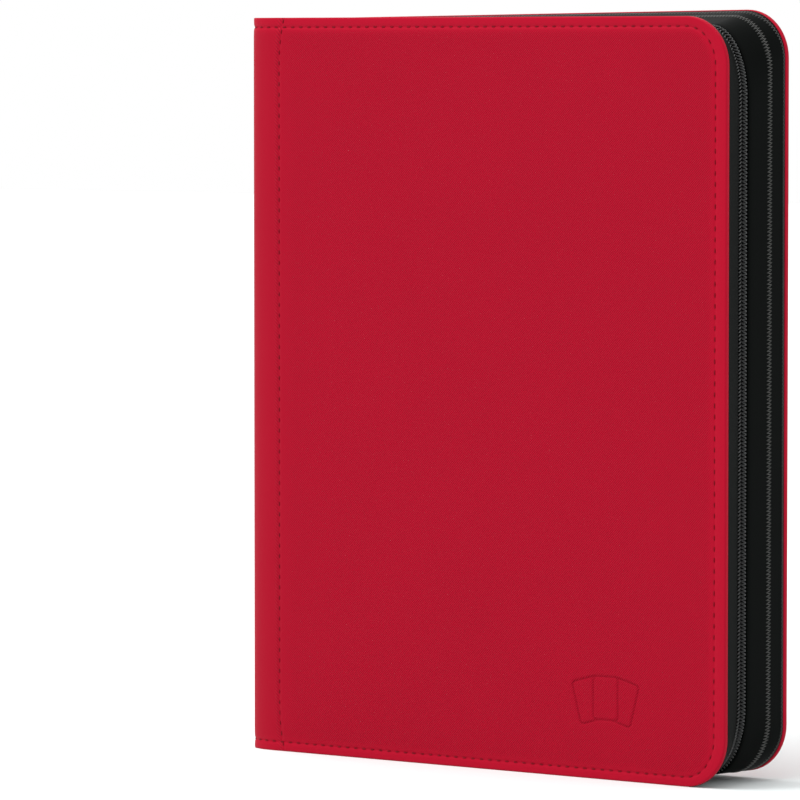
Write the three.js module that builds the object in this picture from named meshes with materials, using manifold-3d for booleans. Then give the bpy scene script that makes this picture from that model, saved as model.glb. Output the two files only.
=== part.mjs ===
// Zip-around trading card binder, closed and standing upright.
// Millimetres, +Z up, +X from the spine to the opening edge, -Y towards the front cover.
// The origin is the middle of the footprint, on the surface that the binder stands on.

import * as THREE from 'three';
import { mergeVertices } from 'three/addons/utils/BufferGeometryUtils.js';
import Module from 'manifold-3d';

const wasm = await Module();
wasm.setup();

// ---- driving dimensions ----

const WIDTH = 280;
const HEIGHT = 350;
const DEPTH = 50;
const CORNER_RADIUS = 22.5;
const CORNER_SEGMENTS = 8;
const GLUE_GAP = 0.05;

// A cover panel or the spine, from its outside to its inside.
const PANEL_THICKNESS = 3;
const SKIN_THICKNESS = 0.8;
const FOAM_THICKNESS = 0.6;
const LINING_THICKNESS = 0.35;

// The folds between the covers and the spine.
const FOLD_RADIUS = PANEL_THICKNESS / 2;
const FOLD_REACH = 2;

// The zip band that goes round three edges, as insets from the covers' outline.
const GUSSET_OUTER = 3.2;
const GUSSET_INNER = 5.5;
const COIL_OUTER = 4.3;
const COIL_INNER = 5.5;
const TAPE_OUTER = 5.55;
const TAPE_INNER = 6.05;

// The same band across the depth, measured from the middle of the zip,
// which runs nearer the front cover than the back one.
const ZIP_Y = -5.8;
const GUSSET_EDGE = 4;
const COIL_NEAR = 0.6;
const COIL_FAR = 3.4;
const TAPE_NEAR = 0.9;
const TAPE_FAR = 9;

// How far each piece of the band stops from the spine's outer face.
const GUSSET_START = 3.6;
const TAPE_START = 6;
const COIL_START = 9.5;
const STOP_LENGTH = 1.7;
const STOP_GAP = 0.2;

// The zip slider, at its closed end near the top of the spine.
const SLIDER_FROM_SPINE = 19;
const SLIDER_LENGTH = 11;
const SLIDER_HALF_WIDTH = 3.8;
const SLIDER_TOP_INSET = 3.1;
const SLIDER_TOP_THICKNESS = 1.1;
const SLIDER_UNDER_INSET = 6.15;
const SLIDER_UNDER_THICKNESS = 0.8;
const SLIDER_POST_LENGTH = 8;
const SLIDER_POST_HALF_WIDTH = 0.4;
const ARCH_HALF_LENGTH = 4.2;
const ARCH_HALF_WIDTH = 1.1;
const ARCH_OPENING_HALF_LENGTH = 3;
const ARCH_OPENING_HEIGHT = 1.9;
const ARCH_HEIGHT = 2.6;

// The link and the moulded tab that turn on the slider.
const PIVOT_INSET = 1.9;
const LINK_LENGTH = 8;
const LINK_BAR = 0.8;
const LINK_HALF_WIDTH = 2.3;
const TAB_THICKNESS = 2.2;
const TAB_NECK_START = 6.6;
const TAB_NECK_HALF_WIDTH = 1.2;
const TAB_SHOULDER_START = 9.2;
const TAB_SHOULDER_HALF_WIDTH = 3.7;
const TAB_END_RADIUS = 5;
const TAB_END_CENTRE = 31;
const TAB_HOLE_RADIUS = 0.8;

// The pocket sheets: each is a black core with a clear pocket film on both sides.
const SHEET_WIDTH = 237;
const SHEET_HEIGHT = 292;
const SHEET_CORNER = 3;
const SHEET_PITCH = 2.2;
const FIRST_SHEET_FROM_MIDDLE = 18.9;
const SHEET_HEIGHTS_OVER_SPINE = [2, 3.9, 5.1, 5.9, 6.5];
const CORE_THICKNESS = 0.5;
const POCKET_GAP = 0.3;
const FILM_THICKNESS = 0.2;
const FILM_START = 10;
const FILM_MARGIN = 1;
const POCKET_COLUMNS = 3;
const POCKET_ROWS = 3;
const POCKET_WIDTH = 68;
const POCKET_HEIGHT = 91;
const COLUMN_PITCH = 73;
const ROW_PITCH = 96;
const FIRST_POCKET_X = 17.5;
const SLIT_WIDTH = 1;
const SLIT_INSET = 0.5;
const SLIT_HEIGHT = 88;

// The strips that hold the sheets to the spine.
const BINDING_OUTER_Y = 19.9;
const BINDING_INNER_Y = 8.9;
const BINDING_BELOW_SHEET = 1;

// ---- places worked out from them ----

const SPINE_X = -WIDTH / 2;
const SPINE_INNER_X = SPINE_X + PANEL_THICKNESS;
const OUTER_Y = DEPTH / 2;
const INNER_Y = OUTER_Y - PANEL_THICKNESS;
const FOLD_X = SPINE_X + FOLD_RADIUS;
const FOLD_Y = OUTER_Y - FOLD_RADIUS;
const COVER_START_X = FOLD_X + FOLD_REACH;
const SPINE_END_Y = FOLD_Y - FOLD_REACH;
const SHEET_BOTTOM = (HEIGHT - SHEET_HEIGHT) / 2;

// ---- materials ----

function material(color, roughness, metalness = 0) {
  return new THREE.MeshStandardMaterial({ color, roughness, metalness });
}

const redSkin = material('#b31b31', 0.55);
const foam = material('#d9d6cc', 0.95);
const board = material('#8f8675', 0.9);
const blackLining = material('#171717', 0.5);
const blackGusset = material('#1d1c1c', 0.55);
const blackTape = material('#1b1b1b', 0.85);
const blackCoil = material('#202020', 0.4);
const blackMetal = material('#27272a', 0.35, 0.8);
const blackRubber = material('#2d2c2b', 0.6);
const blackSheet = material('#1f1f20', 0.5);
const clearFilm = material('#c9cdd1', 0.15);

// ---- making solids ----

// Extrudes a shape drawn in the X-Z plane from one depth to another.
function slab(shape, yLow, yHigh) {
  const geometry = new THREE.ExtrudeGeometry(shape, {
    depth: yHigh - yLow,
    bevelEnabled: false,
    curveSegments: CORNER_SEGMENTS,
  });
  geometry.rotateX(Math.PI / 2);
  geometry.translate(0, yHigh, 0);
  return geometry;
}

// Extrudes a shape drawn in the X-Y plane from one height to another.
function prism(shape, zLow, zHigh) {
  const geometry = new THREE.ExtrudeGeometry(shape, {
    depth: zHigh - zLow,
    bevelEnabled: false,
    curveSegments: CORNER_SEGMENTS,
  });
  geometry.translate(0, 0, zLow);
  return geometry;
}

function block(xLow, xHigh, yLow, yHigh, zLow, zHigh) {
  const geometry = new THREE.BoxGeometry(xHigh - xLow, yHigh - yLow, zHigh - zLow);
  geometry.translate((xLow + xHigh) / 2, (yLow + yHigh) / 2, (zLow + zHigh) / 2);
  return geometry;
}

function toSolid(geometry) {
  const bare = geometry.clone();
  bare.deleteAttribute('normal');
  bare.deleteAttribute('uv');
  const merged = mergeVertices(bare);
  const vertProperties = new Float32Array(merged.attributes.position.array);
  const triVerts = new Uint32Array(merged.index.array);
  return new wasm.Manifold(new wasm.Mesh({ numProp: 3, vertProperties, triVerts }));
}

function toGeometry(solid) {
  const mesh = solid.getMesh();
  const geometry = new THREE.BufferGeometry();
  geometry.setAttribute('position', new THREE.BufferAttribute(mesh.vertProperties, 3));
  geometry.setIndex(new THREE.BufferAttribute(mesh.triVerts, 1));
  geometry.computeVertexNormals();
  return geometry;
}

function join(...geometries) {
  const solids = geometries.map(toSolid);
  return toGeometry(solids.reduce((all, next) => all.add(next)));
}

function cut(geometry, tool) {
  return toGeometry(toSolid(geometry).subtract(toSolid(tool)));
}

// The depths of a layer of the front (-1) or back (+1) half, low one first.
function depths(side, near, far) {
  return side > 0 ? [near, far] : [-far, -near];
}

// The same, for a layer measured from the middle of the zip.
function zipDepths(side, near, far) {
  return depths(side, near, far).map((y) => ZIP_Y + y);
}

function addPart(parent, name, geometry, finish) {
  const mesh = new THREE.Mesh(geometry, finish);
  mesh.name = name;
  parent.add(mesh);
  return mesh;
}

// ---- outlines in the X-Z plane ----

// A cover's outline: square at the spine, round at the two opening corners.
function coverOutline(inset, startX = COVER_START_X) {
  const radius = CORNER_RADIUS - inset;
  const centreX = WIDTH / 2 - CORNER_RADIUS;
  const shape = new THREE.Shape();
  shape.moveTo(startX, inset);
  shape.lineTo(centreX, inset);
  shape.absarc(centreX, CORNER_RADIUS, radius, -Math.PI / 2, 0, false);
  shape.absarc(centreX, HEIGHT - CORNER_RADIUS, radius, 0, Math.PI / 2, false);
  shape.lineTo(startX, HEIGHT - inset);
  shape.closePath();
  return shape;
}

// A band that follows the three free edges, open towards the spine.
function bandOutline(outerInset, innerInset, fromSpine) {
  const startX = SPINE_X + fromSpine;
  const centreX = WIDTH / 2 - CORNER_RADIUS;
  const topZ = HEIGHT - CORNER_RADIUS;
  const outer = CORNER_RADIUS - outerInset;
  const inner = CORNER_RADIUS - innerInset;
  const shape = new THREE.Shape();
  shape.moveTo(startX, outerInset);
  shape.lineTo(centreX, outerInset);
  shape.absarc(centreX, CORNER_RADIUS, outer, -Math.PI / 2, 0, false);
  shape.absarc(centreX, topZ, outer, 0, Math.PI / 2, false);
  shape.lineTo(startX, HEIGHT - outerInset);
  shape.lineTo(startX, HEIGHT - innerInset);
  shape.lineTo(centreX, HEIGHT - innerInset);
  shape.absarc(centreX, topZ, inner, Math.PI / 2, 0, true);
  shape.absarc(centreX, CORNER_RADIUS, inner, 0, -Math.PI / 2, true);
  shape.lineTo(startX, innerInset);
  shape.closePath();
  return shape;
}

function rectangle(xLow, xHigh, zLow, zHigh) {
  const shape = new THREE.Shape();
  shape.moveTo(xLow, zLow);
  shape.lineTo(xHigh, zLow);
  shape.lineTo(xHigh, zHigh);
  shape.lineTo(xLow, zHigh);
  shape.closePath();
  return shape;
}

// ---- covers ----

// The outer sheet: flat, with its edge turned in over the other layers.
function coverSkin(side) {
  const whole = slab(coverOutline(0), ...depths(side, INNER_Y, OUTER_Y));
  const hollowOutline = coverOutline(SKIN_THICKNESS, COVER_START_X - 1);
  const hollow = slab(hollowOutline, ...depths(side, INNER_Y - 1, OUTER_Y - SKIN_THICKNESS));
  return cut(whole, hollow);
}

// One flat layer inside the turned edge.
function coverLayer(side, near, far) {
  return slab(coverOutline(SKIN_THICKNESS + GLUE_GAP), ...depths(side, near, far));
}

function addCover(parent, name, side) {
  const foamFar = OUTER_Y - SKIN_THICKNESS - GLUE_GAP;
  const foamNear = foamFar - FOAM_THICKNESS;
  const liningFar = INNER_Y + LINING_THICKNESS;
  addPart(parent, `${name}_cover_skin`, coverSkin(side), redSkin);
  addPart(parent, `${name}_cover_foam`, coverLayer(side, foamNear, foamFar), foam);
  const boardShape = coverLayer(side, liningFar + GLUE_GAP, foamNear - GLUE_GAP);
  addPart(parent, `${name}_cover_board`, boardShape, board);
  addPart(parent, `${name}_cover_lining`, coverLayer(side, INNER_Y, liningFar), blackLining);
}

// ---- zip band ----

function addZipHalf(parent, name, side) {
  const gusset = bandOutline(GUSSET_OUTER, GUSSET_INNER, GUSSET_START);
  const tape = bandOutline(TAPE_OUTER, TAPE_INNER, TAPE_START);
  const coil = bandOutline(COIL_OUTER, COIL_INNER, COIL_START);
  const gussetNear = GUSSET_EDGE + side * ZIP_Y;
  const gussetFar = INNER_Y - GLUE_GAP;
  const gussetWall = slab(gusset, ...depths(side, gussetNear, gussetFar));
  addPart(parent, `${name}_gusset`, gussetWall, blackGusset);
  addPart(parent, `${name}_zipper_tape`, slab(tape, ...zipDepths(side, TAPE_NEAR, TAPE_FAR)), blackTape);
  addPart(parent, `${name}_zipper_coil`, slab(coil, ...zipDepths(side, COIL_NEAR, COIL_FAR)), blackCoil);
  const topStop = stopBlock(side, HEIGHT - COIL_INNER, HEIGHT - COIL_OUTER);
  addPart(parent, `${name}_top_stop`, topStop, blackMetal);
}

// A stop clamped on the end of the coil.
function stopBlock(side, zLow, zHigh) {
  const endX = SPINE_X + COIL_START - STOP_GAP;
  return block(endX - STOP_LENGTH, endX, ...zipDepths(side, COIL_NEAR, COIL_FAR), zLow, zHigh);
}

// ---- spine ----

// The outer sheet of the spine, with a round fold along each long edge.
function spineSkin() {
  const sheet = block(SPINE_X, SPINE_X + SKIN_THICKNESS, -FOLD_Y, FOLD_Y, 0, HEIGHT);
  const folds = [-FOLD_Y, FOLD_Y].map((y) => {
    const round = new THREE.Shape();
    round.absarc(FOLD_X, y, FOLD_RADIUS, 0, 2 * Math.PI, false);
    return prism(round, 0, HEIGHT);
  });
  return join(sheet, ...folds);
}

function spineLayer(xLow, xHigh) {
  return block(xLow, xHigh, -SPINE_END_Y, SPINE_END_Y, 0, HEIGHT);
}

function addSpine(parent) {
  const foamLow = SPINE_X + SKIN_THICKNESS + GLUE_GAP;
  const foamHigh = foamLow + FOAM_THICKNESS;
  const liningLow = SPINE_INNER_X - LINING_THICKNESS;
  addPart(parent, 'spine_skin', spineSkin(), redSkin);
  addPart(parent, 'spine_foam', spineLayer(foamLow, foamHigh), foam);
  addPart(parent, 'spine_board', spineLayer(foamHigh + GLUE_GAP, liningLow - GLUE_GAP), board);
  addPart(parent, 'spine_lining', spineLayer(liningLow, SPINE_INNER_X), blackLining);
}

// A ramp-backed strip, whose slope follows the hinge lines of its five sheets.
function pageBinding(side) {
  const base = SPINE_INNER_X + GLUE_GAP;
  const topAt = (index) => SPINE_INNER_X + SHEET_HEIGHTS_OVER_SPINE[index] - BINDING_BELOW_SHEET;
  const last = SHEET_HEIGHTS_OVER_SPINE.length - 1;
  const shape = new THREE.Shape();
  shape.moveTo(base, side * BINDING_OUTER_Y);
  shape.lineTo(topAt(0), side * BINDING_OUTER_Y);
  SHEET_HEIGHTS_OVER_SPINE.forEach((height, index) => {
    shape.lineTo(topAt(index), side * sheetY(index));
  });
  shape.lineTo(topAt(last), side * BINDING_INNER_Y);
  shape.lineTo(base, side * BINDING_INNER_Y);
  shape.closePath();
  return prism(shape, SHEET_BOTTOM, SHEET_BOTTOM + SHEET_HEIGHT);
}

// ---- pocket sheets ----

// The distance of a sheet from the middle of the binder, counted from its cover.
function sheetY(index) {
  return FIRST_SHEET_FROM_MIDDLE - index * SHEET_PITCH;
}

// The black core, square at the hinge line and rounded at the free corners.
function sheetCore() {
  const top = SHEET_BOTTOM + SHEET_HEIGHT;
  const cornerX = SHEET_WIDTH - SHEET_CORNER;
  const shape = new THREE.Shape();
  shape.moveTo(0, SHEET_BOTTOM);
  shape.lineTo(cornerX, SHEET_BOTTOM);
  shape.absarc(cornerX, SHEET_BOTTOM + SHEET_CORNER, SHEET_CORNER, -Math.PI / 2, 0, false);
  shape.absarc(cornerX, top - SHEET_CORNER, SHEET_CORNER, 0, Math.PI / 2, false);
  shape.lineTo(0, top);
  shape.closePath();
  return slab(shape, -CORE_THICKNESS / 2, CORE_THICKNESS / 2);
}

// Calls draw with the low corner of each of the nine pockets.
function eachPocket(draw) {
  const usedHeight = (POCKET_ROWS - 1) * ROW_PITCH + POCKET_HEIGHT;
  const firstZ = SHEET_BOTTOM + (SHEET_HEIGHT - usedHeight) / 2;
  for (let column = 0; column < POCKET_COLUMNS; column += 1) {
    for (let row = 0; row < POCKET_ROWS; row += 1) {
      draw(FIRST_POCKET_X + column * COLUMN_PITCH, firstZ + row * ROW_PITCH);
    }
  }
}

// The clear film: welded round nine shallow pockets, each with a slit beside its inner edge.
function pocketFilm(side) {
  const weldNear = CORE_THICKNESS / 2 + GLUE_GAP;
  const faceNear = weldNear + POCKET_GAP;
  const faceFar = faceNear + FILM_THICKNESS;
  const [yLow, yHigh] = depths(side, weldNear, faceFar);
  const low = SHEET_BOTTOM + FILM_MARGIN;
  const high = SHEET_BOTTOM + SHEET_HEIGHT - FILM_MARGIN;
  const slitFoot = (POCKET_HEIGHT - SLIT_HEIGHT) / 2;
  let film = block(FILM_START, SHEET_WIDTH - FILM_MARGIN, yLow, yHigh, low, high);
  eachPocket((x, z) => {
    const recessDepths = depths(side, weldNear - 1, faceNear);
    const slitDepths = depths(side, weldNear - 1, faceFar + 1);
    const slitX = x + SLIT_INSET;
    const slitZ = z + slitFoot;
    film = cut(film, block(x, x + POCKET_WIDTH, ...recessDepths, z, z + POCKET_HEIGHT));
    film = cut(film, block(slitX, slitX + SLIT_WIDTH, ...slitDepths, slitZ, slitZ + SLIT_HEIGHT));
  });
  return film;
}

// Five sheets hang on each half of the spine, numbered from the back cover.
function addSheets(parent) {
  const core = sheetCore();
  const films = { front: pocketFilm(-1), back: pocketFilm(1) };
  const perSide = SHEET_HEIGHTS_OVER_SPINE.length;
  for (let count = 0; count < 2 * perSide; count += 1) {
    const side = count < perSide ? 1 : -1;
    const index = side > 0 ? count : 2 * perSide - 1 - count;
    const name = `sheet_${String(count + 1).padStart(2, '0')}`;
    const sheet = new THREE.Group();
    sheet.position.set(SPINE_INNER_X + SHEET_HEIGHTS_OVER_SPINE[index], side * sheetY(index), 0);
    addPart(sheet, `${name}_core`, core, blackSheet);
    addPart(sheet, `${name}_front_film`, films.front, clearFilm);
    addPart(sheet, `${name}_back_film`, films.back, clearFilm);
    parent.add(sheet);
  }
}

// ---- zip slider and puller, drawn round the middle of the slider ----

// The arch that the link turns in, standing on the slider's top plate.
function sliderArch(topZ) {
  const sunk = 0.2;
  const shape = new THREE.Shape();
  shape.moveTo(-ARCH_HALF_LENGTH, topZ - sunk);
  shape.lineTo(-ARCH_OPENING_HALF_LENGTH, topZ - sunk);
  shape.lineTo(-ARCH_OPENING_HALF_LENGTH, topZ + ARCH_OPENING_HEIGHT);
  shape.lineTo(ARCH_OPENING_HALF_LENGTH, topZ + ARCH_OPENING_HEIGHT);
  shape.lineTo(ARCH_OPENING_HALF_LENGTH, topZ - sunk);
  shape.lineTo(ARCH_HALF_LENGTH, topZ - sunk);
  shape.lineTo(ARCH_HALF_LENGTH, topZ + ARCH_OPENING_HEIGHT);
  shape.lineTo(ARCH_OPENING_HALF_LENGTH, topZ + ARCH_HEIGHT);
  shape.lineTo(-ARCH_OPENING_HALF_LENGTH, topZ + ARCH_HEIGHT);
  shape.lineTo(-ARCH_HALF_LENGTH, topZ + ARCH_OPENING_HEIGHT);
  shape.closePath();
  return slab(shape, -ARCH_HALF_WIDTH, ARCH_HALF_WIDTH);
}

// The slider's plate outline: a long hexagon, narrower at its two ends.
function sliderPlate(zLow, zHigh) {
  const half = SLIDER_LENGTH / 2;
  const shoulder = half - 2;
  const shape = new THREE.Shape();
  shape.moveTo(-shoulder, -SLIDER_HALF_WIDTH);
  shape.lineTo(shoulder, -SLIDER_HALF_WIDTH);
  shape.lineTo(half, -SLIDER_HALF_WIDTH / 2);
  shape.lineTo(half, SLIDER_HALF_WIDTH / 2);
  shape.lineTo(shoulder, SLIDER_HALF_WIDTH);
  shape.lineTo(-shoulder, SLIDER_HALF_WIDTH);
  shape.lineTo(-half, SLIDER_HALF_WIDTH / 2);
  shape.lineTo(-half, -SLIDER_HALF_WIDTH / 2);
  shape.closePath();
  return prism(shape, zLow, zHigh);
}

// Two plates either side of the coil, held together by a post between its halves.
function zipperSlider() {
  const topHigh = HEIGHT - SLIDER_TOP_INSET;
  const topLow = topHigh - SLIDER_TOP_THICKNESS;
  const underHigh = HEIGHT - SLIDER_UNDER_INSET;
  const underLow = underHigh - SLIDER_UNDER_THICKNESS;
  const halfPost = SLIDER_POST_LENGTH / 2;
  const post = block(-halfPost, halfPost, -SLIDER_POST_HALF_WIDTH, SLIDER_POST_HALF_WIDTH, underLow, topHigh);
  return join(sliderPlate(topLow, topHigh), sliderPlate(underLow, underHigh), post, sliderArch(topHigh));
}

// A flat wire loop: one end turns in the arch, and the other holds the tab.
function pullLink() {
  const half = LINK_BAR / 2;
  const innerY = LINK_HALF_WIDTH - LINK_BAR;
  const shape = rectangle(-half, LINK_LENGTH + half, -LINK_HALF_WIDTH, LINK_HALF_WIDTH);
  shape.holes.push(rectangle(half, LINK_LENGTH - half, -innerY, innerY));
  return prism(shape, -half, half);
}

// The moulded tab: a neck round the link's bar, widening to a round end.
function pullTab() {
  const half = TAB_THICKNESS / 2;
  const shape = new THREE.Shape();
  shape.moveTo(TAB_NECK_START, -TAB_NECK_HALF_WIDTH);
  shape.lineTo(TAB_SHOULDER_START, -TAB_NECK_HALF_WIDTH);
  shape.lineTo(TAB_SHOULDER_START + 1, -TAB_SHOULDER_HALF_WIDTH);
  shape.lineTo(TAB_END_CENTRE, -TAB_END_RADIUS);
  shape.absarc(TAB_END_CENTRE, 0, TAB_END_RADIUS, -Math.PI / 2, Math.PI / 2, false);
  shape.lineTo(TAB_SHOULDER_START + 1, TAB_SHOULDER_HALF_WIDTH);
  shape.lineTo(TAB_SHOULDER_START, TAB_NECK_HALF_WIDTH);
  shape.lineTo(TAB_NECK_START, TAB_NECK_HALF_WIDTH);
  shape.closePath();
  const holeLength = 2 * TAB_SHOULDER_HALF_WIDTH;
  const hole = new THREE.CylinderGeometry(TAB_HOLE_RADIUS, TAB_HOLE_RADIUS, holeLength, 12);
  hole.translate(LINK_LENGTH, 0, 0);
  return cut(prism(shape, -half, half), hole);
}

function addSlider(parent) {
  const sliderX = SPINE_X + SLIDER_FROM_SPINE;
  const slider = addPart(parent, 'zipper_slider', zipperSlider(), blackMetal);
  slider.position.set(sliderX, ZIP_Y, 0);
  const puller = new THREE.Group();
  puller.position.set(sliderX, ZIP_Y, HEIGHT - PIVOT_INSET);
  addPart(puller, 'pull_link', pullLink(), blackMetal);
  addPart(puller, 'pull_tab', pullTab(), blackRubber);
  parent.add(puller);
}

// ---- the binder ----

const binder = new THREE.Group();
addCover(binder, 'back', 1);
addCover(binder, 'front', -1);
addZipHalf(binder, 'back', 1);
addZipHalf(binder, 'front', -1);
addPart(binder, 'back_bottom_stop', stopBlock(1, COIL_OUTER, COIL_INNER), blackMetal);
addSpine(binder);
addPart(binder, 'back_page_binding', pageBinding(1), blackLining);
addPart(binder, 'front_page_binding', pageBinding(-1), blackLining);
addSheets(binder);
addSlider(binder);

export default binder;
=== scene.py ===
"""The visual model of a zip-around trading card binder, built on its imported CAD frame.

Shapes are worked out in millimetres in the frame's axes: +X from the spine to the opening edge,
-Y towards the front cover and +Z up. A side is -1 for the front cover and +1 for the back one.
"""

import math

import bmesh
import bpy
import numpy as np
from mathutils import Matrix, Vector


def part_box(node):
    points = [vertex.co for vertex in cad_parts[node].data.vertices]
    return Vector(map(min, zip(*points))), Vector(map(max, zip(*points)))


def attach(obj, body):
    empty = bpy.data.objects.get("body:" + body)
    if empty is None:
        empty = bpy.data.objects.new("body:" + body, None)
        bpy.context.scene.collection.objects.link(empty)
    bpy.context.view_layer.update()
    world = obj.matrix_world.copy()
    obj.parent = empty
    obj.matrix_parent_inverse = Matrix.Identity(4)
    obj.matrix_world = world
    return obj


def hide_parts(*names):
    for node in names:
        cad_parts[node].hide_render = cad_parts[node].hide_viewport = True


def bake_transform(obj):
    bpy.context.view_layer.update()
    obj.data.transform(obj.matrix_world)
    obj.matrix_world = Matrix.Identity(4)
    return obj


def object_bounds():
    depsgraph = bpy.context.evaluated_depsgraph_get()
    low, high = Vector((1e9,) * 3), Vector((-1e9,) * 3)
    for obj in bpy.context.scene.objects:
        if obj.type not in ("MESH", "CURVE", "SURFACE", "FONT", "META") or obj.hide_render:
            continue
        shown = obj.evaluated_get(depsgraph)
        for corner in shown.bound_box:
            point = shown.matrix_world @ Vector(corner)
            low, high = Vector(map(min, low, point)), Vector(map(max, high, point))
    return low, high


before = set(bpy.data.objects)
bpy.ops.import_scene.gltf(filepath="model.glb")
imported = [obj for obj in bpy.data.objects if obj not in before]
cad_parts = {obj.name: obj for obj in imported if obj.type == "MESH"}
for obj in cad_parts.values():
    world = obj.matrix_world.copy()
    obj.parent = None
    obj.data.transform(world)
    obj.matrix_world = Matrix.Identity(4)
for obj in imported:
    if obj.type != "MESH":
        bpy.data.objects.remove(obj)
cad_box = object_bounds()

# ---- sizes, in millimetres ----

MM = 0.001
CAD_LOW, CAD_HIGH = [[value / MM for value in corner] for corner in cad_box]
SPINE_X, OPEN_X = CAD_LOW[0], CAD_HIGH[0]
OUTER_Y = CAD_HIGH[1]
HEIGHT = CAD_HIGH[2]
CORNER = 22.5
CORNER_X = OPEN_X - CORNER
PANEL = 3.0
INNER_Y = OUTER_Y - PANEL
SKIN = 0.6

FRONT, BACK = -1, 1
SIDES = {"front": FRONT, "back": BACK}

# The soft fold between a cover and the spine, and the seam where the cover's board ends.
FOLD_START = SPINE_X + 17
FOLD_DEPTH = 6.0
FOLD_THICKNESS = 0.9
# The bend is close to the hinge, so that the fold lies nearly flat when the binder is open.
SEAM_X = SPINE_X + 19.5
SEAM_FLARE = 3.2
SPINE_HALF = OUTER_Y - FOLD_DEPTH

ZIP_Y = (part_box("front_zipper_coil")[0].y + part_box("back_zipper_coil")[1].y) / 2 / MM
ZIP_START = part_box("front_zipper_coil")[0].x / MM
# How much wider and taller than the covers' corners the zip's corners are. They start past the
# slider's last place on the top edge.
CORNER_WIDER, CORNER_TALLER = 1.0, 14.0
# Where the gusset and the tape start, on a run that is 0 at the coil's end.
GUSSET_START, TAPE_START = -5.0, -3.0
# The soft band's straight runs: along the top or bottom edge, and up the opening side.
STRAIGHT = CORNER_X - ZIP_START
UPRIGHT = HEIGHT - 2 * CORNER
# The coil: inset of its middle, length of a turn, and radius of its wire.
COIL_INSET = 4.6
COIL_PITCH = 1.7
COIL_WIRE = 0.33

# Stitches: distance between two, then length and radius round the rim and along the fold's seam.
STITCH_PITCH = 5.0
RIM_STITCH = (2.4, 0.28)
SEAM_STITCH = (2.3, 0.32)
# The rim's stitched line: inset at the opening side, inset at top and bottom, and depth.
RIM_STITCH_LINE = (6.3, 4.5, 0.5)
SEAM_DEPTH = 0.42

# The back cover sits a little higher than the front one at the opening side. The lift starts this
# far behind the zip, so that the slider stays on the coil.
LIFT = 3.4
LIFT_START = ZIP_Y + 5

# The pressed emblem: a small fan of three blank cards. A card has a half width, half height and
# corner radius. Each card of the fan is moved across, moved up and turned in degrees.
EMBLEM_CENTRE = (73.0, 37.5)
EMBLEM_CARD = (7.0, 10.0, 1.8)
EMBLEM_FAN = [(-9.8, -1.3, 15.0), (9.8, -1.3, -15.0), (0.0, 0.0, 0.0)]
EMBLEM_LINE = 0.42
EMBLEM_DEPTH = 0.48


# ---- materials ----


def linear(red, green, blue):
    """A display colour, 0 to 255, as the linear numbers that a shader takes."""
    parts = [value / 255 for value in (red, green, blue)]
    return [p / 12.92 if p <= 0.04045 else ((p + 0.055) / 1.055) ** 2.4 for p in parts]


class Finish:
    """A procedural material, built node by node."""

    def __init__(self, name, color, roughness, **sockets):
        self.material = bpy.data.materials.new(name)
        self.material.use_nodes = True
        self.tree = self.material.node_tree
        self.shader = self.tree.nodes["Principled BSDF"]
        self.color = color
        self.shader.inputs["Base Color"].default_value = (*color, 1)
        self.shader.inputs["Roughness"].default_value = roughness
        for socket, value in sockets.items():
            self.shader.inputs[socket.replace("_", " ")].default_value = value

    def node(self, kind, inputs=None, **settings):
        made = self.tree.nodes.new(kind)
        for name, value in settings.items():
            setattr(made, name, value)
        for key, value in (inputs or {}).items():
            self.join(value, made.inputs[key])
        return made

    def join(self, value, socket):
        if isinstance(value, bpy.types.NodeSocket):
            self.tree.links.new(value, socket)
        else:
            socket.default_value = value

    def math(self, operation, a, b=0.0):
        return self.node("ShaderNodeMath", {0: a, 1: b}, operation=operation).outputs[0]

    def add(self, a, b):
        return self.math("ADD", a, b)

    def times(self, a, b):
        return self.math("MULTIPLY", a, b)

    def attribute(self, name):
        return self.node("ShaderNodeAttribute", attribute_name=name)

    def object_place(self):
        return self.node("ShaderNodeTexCoord").outputs["Object"]

    def noise(self, size_mm, detail=3.0, place=None):
        """Noise whose blotches are about this wide."""
        inputs = {"Scale": 1000 / size_mm, "Detail": detail, "Vector": place or self.object_place()}
        return self.node("ShaderNodeTexNoise", inputs).outputs[0]

    def ramp(self, value, low, high):
        """Maps 0 to 1 onto low to high."""
        return self.node("ShaderNodeMapRange", {0: value, 3: low, 4: high}).outputs[0]

    def tint(self, amount):
        """Multiplies the base colour by a varying amount."""
        scaled = self.node("ShaderNodeVectorMath", operation="SCALE")
        scaled.inputs[0].default_value = self.color
        self.join(amount, scaled.inputs["Scale"])
        self.join(scaled.outputs[0], self.shader.inputs["Base Color"])

    def rough(self, value, low, high):
        self.join(self.ramp(value, low, high), self.shader.inputs["Roughness"])

    def bump(self, height, depth_mm):
        made = self.node("ShaderNodeBump", {"Height": height, "Strength": 1.0})
        made.inputs["Distance"].default_value = depth_mm * MM
        self.join(made.outputs[0], self.shader.inputs["Normal"])


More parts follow.
